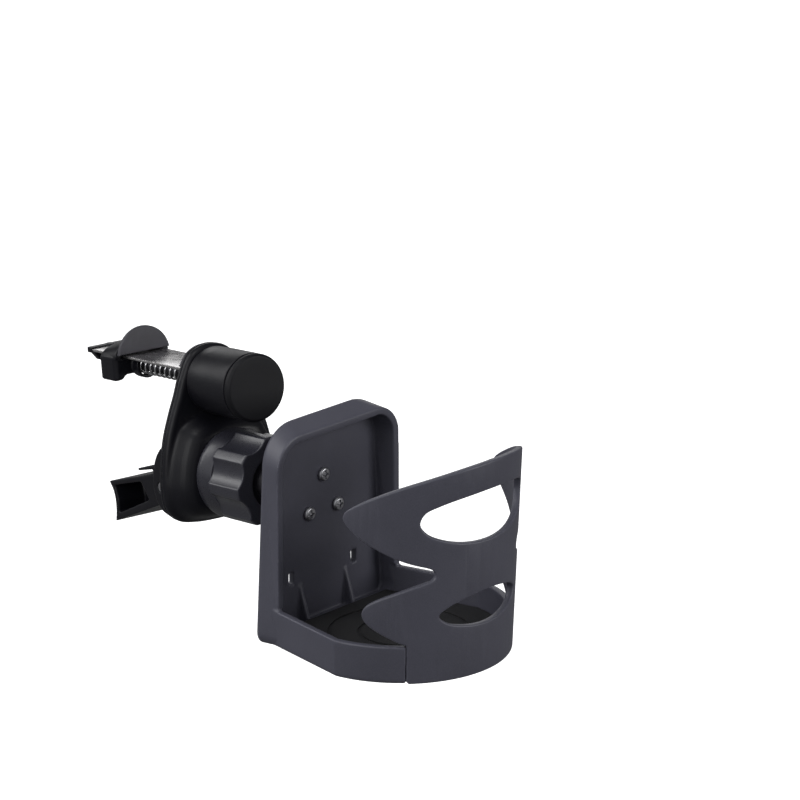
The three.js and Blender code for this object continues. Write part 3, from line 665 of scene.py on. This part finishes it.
# ---------------------------------------------------------------- clamp body
# Outlines of the right half, as (across, height) from the ball's centre, low end first.
BODY_RIGHT = [(0, -18.8), (12, -18.4), (20, -16.4), (24.4, -11.4), (25.4, -4), (24.6, 5), (22.6, 15),
              (19.3, 24), (16.2, 31), (13.4, 38), (8.4, 46), (0, 48.7)]
NOSE_RIGHT = [(0, -17.2), (10.6, -16.8), (18, -15), (22, -10.6), (23.4, -4), (22.6, 3), (20.4, 11),
              (16.4, 18.2), (10, 21), (0, 21.6)]
BODY_LOOP = smooth_curve(mirrored(BODY_RIGHT), 0.8, True)
NOSE_LOOP = smooth_curve(mirrored(NOSE_RIGHT), 0.8, True)
COVER_SCREWS = [(-14.5, 14.5), (14.5, 14.5), (-13, -12), (13, -12)]


def stacked(loop, levels):
    """Solid with one outline, drawn in by an inset at each depth."""
    return loft([ring_y(inset(loop, s), y) for y, s in levels])


def build_body():
    plate = stacked(BODY_LOOP, [(32.6, 0), (31.4, 0), (30.6, 0.2), (30, 0.6), (29.6, 1.1), (29.4, 1.8)])
    nose = stacked(NOSE_LOOP, [(31, -1.4), (29.8, -1.3), (29.1, -0.7), (28.2, -0.15), (26.8, 0.5), (25, 1.3),
                               (23.4, 2.3), (22.2, 3.6), (21.3, 5), (20.8, 6.8)])
    cavity = stacked(NOSE_LOOP, [(33, 3), (28.4, 3.4), (26, 4.8), (24, 6.8)])
    strip = block((-10.8, 10.8), (30, 33), (STRIP_LOW - 0.2, STRIP_HIGH + 0.2))
    shell = cut(add(plate, nose), cavity)
    shell = cut(shell, rod(SCREW_R + 0.1, 28, 33, 0, AXIS_Z), strip)
    return soften(shell, 0.4, 5, 0.3)


def build_cover():
    plate = stacked(BODY_LOOP, [(34.8, 1.4), (34.6, 0.7), (34.2, 0.25), (33.7, 0.1), (32.9, 0.1)])
    lug = fillet([(33.5, 13.4), (38.4, 10.6), (42, 6.4), (44.4, 0), (44.8, -6), (42.8, -11), (38.8, -14),
                  (33.5, -15.2)], 2.0, True)
    lugs = [loft([ring_x(lug, x0), ring_x(lug, x1)]) for x0, x1 in ((-21.6, -17.6), (17.6, 21.6))]
    sinks = [rod(2.3, 33.7, 36, x, z, segments=24) for x, z in COVER_SCREWS]
    tools = [rod(2.05, -30, 30, PIN_Y, PIN_Z, "X"), rod(3.4, 32, 34.2, 0, AXIS_Z),
             rod(SCREW_R + 0.15, 32, 36, 0, AXIS_Z),
             block((-9.2, 9.2), (32, 36), (STRIP_LOW - 0.2, STRIP_HIGH + 0.2))]
    return soften(cut(add(plate, *lugs), *tools, *sinks), 0.36, 4, 0.3)


def half_disc(radius, centre, low):
    """Upper part of a disc, cut off level at a given height."""
    start = math.degrees(math.asin((low - centre) / radius))
    rim = arc(radius, start, 180 - start, 3, (0, centre))
    base = resample([rim[-1], rim[0]], 1.0, False)[1:-1]
    return np.vstack([rim, base])


def build_pad(radius, centre, low, near, far):
    """Half-round pad between two depths."""
    loop = half_disc(radius, centre, low)
    return slab_object("pad", [loop], far - near, 0.55, lambda x, z, h: Vector((x, near + h, z)))


# ---------------------------------------------------------------- knob and screw
def build_knob():
    profile = fillet([(10.6, 6.0), (10.6, 4.0), (KNOB_R, 4.0), (KNOB_R, 11.4), (12.85, 22.4), (12.7, 29.1),
                      (9.8, 29.1), (9.8, 12.4), (5.4, 12.4), (5.4, 28.3), (2.45, 28.3), (2.45, 6.0)],
                     0.55, True)
    return lathe(profile, 160, 0, AXIS_Z)


def build_cap():
    dome = [(0, 0.55), (7.5, 0.5), (11.4, 0.42)]
    rim = fillet([(11.4, 0.42), (12.1, 0.45), (KNOB_R, 1.5), (KNOB_R, 3.1), (12.35, 3.6), (10.4, 3.6),
                  (10.4, 5.6), (0, 5.6)], 0.35)
    return lathe(dome + [tuple(p) for p in rim][1:], 160, 0, AXIS_Z)


def ring_round_screw(t, radius, y):
    return np.c_[radius * np.cos(t), np.full(len(t), y), AXIS_Z + radius * np.sin(t)]


def build_thread():
    """Threaded rod: a trapezoid thread wound on a solid core, with a hexagon at the knob."""
    around, low, high = 40, 12.0, 100.6
    rows = int((high - low) / 0.2)
    t = np.linspace(0, 2 * math.pi, around, endpoint=False)
    rings = [ring_round_screw(t, 0.5, 8.0), ring_round_screw(t, 2.3, 8.0)]
    for y in np.linspace(low, high, rows):
        phase = (y / THREAD_LEAD - t / (2 * math.pi)) % 1.0
        crest = np.clip((np.abs(phase - 0.5) - 0.15) / 0.16, 0, 1)
        fade = min(1.0, (y - low) / 2.0, (high - y) / 1.0 + 0.25)
        r = 2.38 - 0.5 * (1 - crest) * max(0.0, fade) - 0.25 * max(0.0, 1 - (high - y) / 0.8)
        rings.append(ring_round_screw(t, r, y))
    rings.append(ring_round_screw(t, 0.5, high + 0.1))
    hexagon = arc(4.0, 0, 360, 60)[:-1] + (0, AXIS_Z)
    head = slab_object("hex", [hexagon], 3.5, 0.3, lambda x, z, h: Vector((x, KNOB_Y + 5.7 + h, z)))
    return join(loft(rings), head)


def build_spring():
    """Round wire wound on the screw, with a closed coil at each end."""
    count, dead, closed = 640, 1.0, 0.86
    t = np.linspace(0, COILS, count)
    turn = 2 * math.pi * t
    height = SPRING_HIGH - SPRING_LOW - 2 * WIRE_R
    rise = np.interp(t, [0, dead, COILS - dead, COILS], [0, closed, height - closed, height])
    rise = np.convolve(np.pad(rise, 12, mode="edge"), np.ones(25) / 25, "valid")
    centre = np.c_[COIL_R * np.cos(turn), SPRING_LOW + WIRE_R + rise, AXIS_Z + COIL_R * np.sin(turn)]
    along = np.gradient(centre, axis=0)
    along /= np.linalg.norm(along, axis=1)[:, None]
    out = np.c_[np.cos(turn), np.zeros(count), np.sin(turn)]
    side = np.cross(along, out)
    side /= np.linalg.norm(side, axis=1)[:, None]
    out = np.cross(side, along)
    a = np.radians(np.arange(0, 360, 36))
    rings = []
    for c, o, s in zip(centre, out, side):
        rings.append(c + WIRE_R * (np.cos(a)[:, None] * o + np.sin(a)[:, None] * s))
    return loft(rings)


def build_strip():
    right = [(0, 30.2), (10.6, 30.2), (10.6, 32.4), (9, 32.4), (9, 102.9), (7.5, 104.4), (0, 104.4)]
    loop = fillet(mirrored(right), 1.0, True)
    hole = arc(1.6, 360, 0, 15, (0, 102.6))[:-1]
    return slab_object("strip", [loop, hole], STRIP_HIGH - STRIP_LOW, 0.22,
                       lambda x, y, h: Vector((x, y, STRIP_LOW + h)))


def on_stop(x, z, height):
    return Vector((x, STOP_Y + height, z))


def build_stop():
    """End stop: a tab under the strip, a sleeve round its end and the rivet through both."""
    top, bottom = STRIP_LOW - 0.1, STRIP_LOW - 4
    tab = fillet([(-8.6, top), (-5.6, bottom), (5.6, bottom), (8.6, top)], 0.7, True)
    stop = slab_object("stop", [tab], 3.0, 0.4, on_stop)
    rivet = lathe(fillet([(0, 40.5), (1.9, 40.5), (2.6, 39.9), (1.5, 39.9), (1.5, 37.8), (0, 37.8)], 0.3), 32,
                  0, 102.6, "Z")
    right = [(0, STRIP_LOW - 0.6), (9.3, STRIP_LOW - 0.6), (9.3, STRIP_HIGH + 0.6), (0, STRIP_HIGH + 0.6)]
    sleeve = slab_object("sleeve", [fillet(mirrored(right), 0.5, True)], 3.2, 0.3, on_stop)
    return join(join(stop, sleeve), rivet)


# ---------------------------------------------------------------- jaw
def build_jaw():
    """Jaw block under a low vault that backs the pad, with a collar round the spring."""
    front, rear, half, low, eaves = 79.4, 90.6, 12.5, 29.8, 39.6
    outline = fillet([(-half, low), (-8.8, low), (-7.2, low + 1.8), (7.2, low + 1.8), (8.8, low), (half, low),
                      (half, eaves), (-half, eaves)], 1.0, True)
    core = stacked(outline, [(rear, 0.6), (rear - 0.5, 0.15), (rear - 1.2, 0), (front + 2, 0),
                             (front + 0.8, 0.4), (front, 1.3)])
    t = np.radians(np.arange(0, 181, 6))
    vault = []
    for y in np.linspace(front, rear - 0.4, 9):
        rise = np.interp(y, (front, rear), (6.6, 3.4))
        vault.append(ring_y(np.c_[12.2 * np.cos(t), eaves - 1 + (rise + 1) * np.sin(t)], y))
    slot = ((-9.3, 9.3), (front - 5, rear + 3), (STRIP_LOW - 0.3, STRIP_HIGH + 0.3))
    well, lip = 3.95, 5
    shell = add(core, loft(vault))
    cut(shell, rod(well, front - 2, SPRING_HIGH + 0.1, 0, AXIS_Z))
    cut(shell, rod(SCREW_R + 0.25, front, rear + 1, 0, AXIS_Z))
    cut(shell, block((-3.45, 3.45), (85.8, rear + 1), (AXIS_Z - 3.45, AXIS_Z + 3.45)))
    cut(shell, block(*slot))
    collar = lathe([(well, front - 3.8), (lip, front - 3.8), (lip, front + 0.6), (well, front + 0.6)], 48,
                   0, AXIS_Z)
    return soften(join(shell, cut(collar, block(*slot))), 0.3, 4, 0.35)


def build_jaw_nut():
    half = 3.3
    low, high = AXIS_Z - half, AXIS_Z + half
    loop = fillet([(-half, low), (half, low), (half, high), (-half, high)], 0.5, True)
    hole = arc(SCREW_R + 0.08, 360, 0, 12, (0, AXIS_Z))[:-1]
    return slab_object("nut", [loop, hole], 3.8, 0.3, lambda x, z, h: Vector((x, 86 + h, z)))


# ---------------------------------------------------------------- support foot
def build_foot():
    turns = [math.radians(a) for a in range(100, 269, 12)]
    knuckle = [(PIN_Y + 4.5 * math.cos(a), PIN_Z + 4.5 * math.sin(a)) for a in turns]
    tip = smooth_curve([(81.8, -24.4), (80.9, -20.4), (80.7, -16.2), (81.7, -12.2), (84, -8.8)], 0.7)
    flap = [(51.6, -1.6), (51.4, 0.2), (62, -1.7), (62, -0.7), (47, 2.8)]
    profile = np.vstack([knuckle, [(48.3, -13.2)], tip, flap])
    body = loft([ring_x(profile, -FOOT_HALF), ring_x(profile, FOOT_HALF)])
    pocket = fillet([(61, -5.9), (56, -12.4), (78.8, -20.8), (78.2, -16), (80.2, -9.9)], 0.8, True)
    pockets = [loft([ring_x(pocket, x0), ring_x(pocket, x1)]) for x0, x1 in ((-19, -5), (5, 19))]
    return soften(cut(body, rod(2.1, -30, 30, PIN_Y, PIN_Z, "X"), *pockets), 0.34, 4, 0.3)


def build_pin():
    return lathe(fillet([(0, -21.4), (2, -21.4), (2, 21.4), (0, 21.4)], 0.5), 40, PIN_Y, PIN_Z, "X")


# ---------------------------------------------------------------- screws
def screw(head_r, shank_r, bearing, length, face, x, z, axis="Y"):
    """Pan head with a cross recess; face is the height of the head's top, bearing its underside."""
    up = 1 if face > bearing else -1
    profile = [(0, bearing - up * length), (shank_r * 0.5, bearing - up * length),
               (shank_r, bearing - up * (length - 0.6)), (shank_r, bearing), (head_r, bearing),
               (head_r, bearing + 0.45 * (face - bearing)), (head_r * 0.8, bearing + 0.85 * (face - bearing)),
               (0, face)]
    head = lathe(fillet(profile, 0.25), 36, x, z, axis)
    deep, wide, reach = face - 0.7 * (face - bearing), 0.16 * head_r, 0.62 * head_r
    span = sorted((deep, face + up))
    if axis == "Y":
        cross = [block((x - a, x + a), span, (z - b, z + b)) for a, b in ((wide, reach), (reach, wide))]
    else:
        cross = [block((x - a, x + a), (z - b, z + b), span) for a, b in ((wide, reach), (reach, wide))]
    return cut(head, *cross)


def build_all():
    piece(build_holder(), "holder_shell", "holder", ["holder_frame"], SHELL, ROW, 0)
    piece(build_guard(), "guard_shell", "holder", ["front_guard"], SHELL, ROW, 60)
    piece(build_mat(), "cup_mat", "holder", ["base_mat"], MAT, ROW)
    piece(build_stud(), "stud_turned", "holder", ["ball_stud"], CAST, ROW)
    piece(build_collet(), "collet_turned", "clamp", ["socket_collet"], NUT_FINISH)
    piece(build_nut(), "nut_fluted", "lock_ring", ["lock_nut"], NUT_FINISH, angle=0)
    piece(build_body(), "body_shell", "clamp", ["clamp_body"], DARK, angle=0)
    piece(build_cover(), "cover_plate", "clamp", ["rear_cover"], DARK, angle=0)
    piece(build_pad(11.4, 36.4, 40.8, 34.9, 37.0), "body_pad_soft", "clamp", ["body_pad"], PAD)
    piece(build_knob(), "knob_barrel", "knob", ["clamp_knob"], DARK)
    piece(build_cap(), "knob_end", "knob", ["knob_cap"], CAP)
    piece(build_thread(), "screw_threaded", "knob", ["clamp_screw"], THREAD, angle=50)
    spring = piece(build_spring(), "spring_wire", None, ["clamp_spring"], SPRING, angle=80)
    follow_both(spring)
    piece(build_strip(), "strip_polished", "clamp", ["guide_strip"], STRIP)
    piece(build_stop(), "stop_tab", "clamp", ["strip_stop"], DARK)
    piece(build_jaw(), "jaw_shell", "jaw", ["jaw_block"], DARK, angle=0)
    piece(build_pad(11.6, 38.5, 40.2, 77.1, 79.2), "jaw_pad_soft", "jaw", ["jaw_pad"], PAD)
    piece(build_jaw_nut(), "jaw_nut_steel", "jaw", ["jaw_nut"], ZINC)
    piece(build_foot(), "foot_shell", "foot", ["support_foot"], DARK, angle=0)
    piece(build_pin(), "pin_steel", "clamp", ["foot_pin"], ZINC)


def screw_row(name, spots, body, place, head_r, shank_r, bearing, length, face, axis="Y"):
    """A group of like screws: each stands for the CAD node with its number."""
    for i, (x, z) in enumerate(spots, 1):
        node = f"{name}_{i}"
        made = screw(head_r, shank_r, bearing, length, face, x, z, axis)
        piece(made, node + "_pan", body, [node], ZINC, place)


def build_screws():
    screw_row("cover_screw", COVER_SCREWS, "clamp", CLAMP, 2.1, 0.9, 33.8, 6.4, 34.7)
    screw_row("stud_screw", stud_screw_spots(), "holder", ROW, 2.7, 1.2, 37.9, 6.0, 36.2)
    screw_row("guard_screw", guard_screw_spots(), "holder", ROW, 2.0, 0.9, 1.4, 8.0, 0.1, "Z")


def finish_inner_nodes():
    """The pieces hidden in the joint and the knob keep their CAD shape and take a finish."""
    finishes = dict(ball_seat=DARK, ball_liner=DARK, thrust_washer=ACETAL, retaining_clip=ZINC,
                    socket_screw_1=ZINC, socket_screw_2=ZINC, socket_screw_3=ZINC)
    for node, material in finishes.items():
        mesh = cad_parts[node].data
        mesh.materials.clear()
        mesh.materials.append(material)


build_all()
build_screws()
finish_inner_nodes()


# ---------------------------------------------------------------- studio
def paper():
    """White sweep for the camera, clear from below, that throws only a little light back on the object."""
    n = Nodes("studio_paper")
    seen = n.add("ShaderNodeLightPath").outputs["Is Camera Ray"]
    below = n.add("ShaderNodeNewGeometry").outputs["Backfacing"]
    tone = n.span(n.noise(3.0, 3.0), 0.3, 0.7, 0.0, 1.0)
    white = n.mix(tone, (0.82, 0.82, 0.82, 1), (0.86, 0.86, 0.86, 1))
    colour = n.mix(seen, (0.2, 0.2, 0.2, 1), white)
    glow = n.maths("MULTIPLY", seen, PAPER_GLOW)
    clear = n.maths("SUBTRACT", 1.0, below)
    return n.finish(Base_Color=colour, Roughness=0.9, Specular_IOR_Level=0.0, Alpha=clear,
                    Emission_Color=(1.0, 1.0, 1.0, 1), Emission_Strength=glow)


def sky():
    """Dim room with a broad bright side behind and to the left of the object; the camera sees it white."""
    world = bpy.data.worlds.new("studio")
    world.use_nodes = True
    tree = world.node_tree
    place = tree.nodes.new("ShaderNodeTexCoord").outputs["Generated"]
    side = tree.nodes.new("ShaderNodeVectorMath")
    side.operation = "DOT_PRODUCT"
    side.inputs[1].default_value = Vector(SKY_BRIGHT_SIDE).normalized()
    span = tree.nodes.new("ShaderNodeMapRange")
    span.interpolation_type = "SMOOTHSTEP"
    for key, value in {"From Min": -0.2, "From Max": 0.9, "To Min": SKY_LOW, "To Max": SKY_HIGH}.items():
        span.inputs[key].default_value = value
    tree.links.new(place, side.inputs[0])
    tree.links.new(side.outputs["Value"], span.inputs["Value"])
    seen = tree.nodes.new("ShaderNodeLightPath").outputs["Is Camera Ray"]
    strength = tree.nodes.new("ShaderNodeMath")
    strength.operation = "MAXIMUM"
    tree.links.new(span.outputs["Result"], strength.inputs[0])
    tree.links.new(seen, strength.inputs[1])
    tree.links.new(strength.outputs["Value"], tree.nodes["Background"].inputs["Strength"])
    tree.nodes["Background"].inputs["Color"].default_value = (0.97, 0.98, 1.0, 1.0)
    bpy.context.scene.world = world


def stage_surface():
    """Pale sweep, a hand below the hanging object, that curves up far behind it."""
    profile = [(-2.5, 0.0), (1.2, 0.0), (1.6, 0.02), (1.9, 0.1), (2.15, 0.3), (2.3, 0.6), (2.35, 3.0)]
    line = smooth_curve(profile, 0.05)
    verts, faces = [], []
    turn = Matrix.Rotation(math.radians(FLOOR_HEADING), 4, "Z")
    for distance, z in line:
        for across in (-FLOOR_HALF_WIDTH, FLOOR_HALF_WIDTH):
            verts.append(turn @ Vector((across, distance, z - FLOOR_DROP)))
    for i in range(len(line) - 1):
        faces.append((2 * i, 2 * i + 1, 2 * i + 3, 2 * i + 2))
    mesh = bpy.data.meshes.new("studio_floor")
    mesh.from_pydata(verts, [], faces)
    floor = bpy.data.objects.new("studio_floor", mesh)
    bpy.context.scene.collection.objects.link(floor)
    for p in mesh.polygons:
        p.use_smooth = True
    mesh.materials.append(paper())


def area_light(name, where, size, power):
    data = bpy.data.lights.new(name, "AREA")
    data.shape = "RECTANGLE"
    data.size, data.size_y = size
    data.energy = power
    lamp = bpy.data.objects.new(name, data)
    lamp.location = where
    lamp.rotation_mode = "QUATERNION"
    lamp.rotation_quaternion = (Vector(where) - Vector(LIGHT_TARGET)).to_track_quat("Z", "Y")
    bpy.context.scene.collection.objects.link(lamp)


def camera():
    data = bpy.data.cameras.new("camera")
    data.lens = CAMERA_LENS
    data.sensor_width = 36.0
    data.clip_start = 0.05
    data.clip_end = 20.0
    eye = bpy.data.objects.new("camera", data)
    eye.location = CAMERA_PLACE
    eye.rotation_euler = (math.radians(CAMERA_TILT), 0.0, math.radians(CAMERA_HEADING))
    bpy.context.scene.collection.objects.link(eye)
    bpy.context.scene.camera = eye


def build_studio():
    stage_surface()
    sky()
    area_light("key", (-1.2, 0.1, 0.6), (0.6, 0.8), 5.5)
    area_light("rim", (-0.4, 1.2, 0.7), (0.5, 0.9), 5.0)
    area_light("fill", (0.6, -1.3, 0.5), (0.7, 0.9), 11.5)
    area_light("glow", (1.1, 1.2, 0.5), (1.0, 0.5), 2.5)
    area_light("top", (-0.35, 0.1, 1.5), (0.5, 0.5), 3.6)
    camera()
    bpy.context.scene.view_settings.view_transform = "Standard"


build_studio()
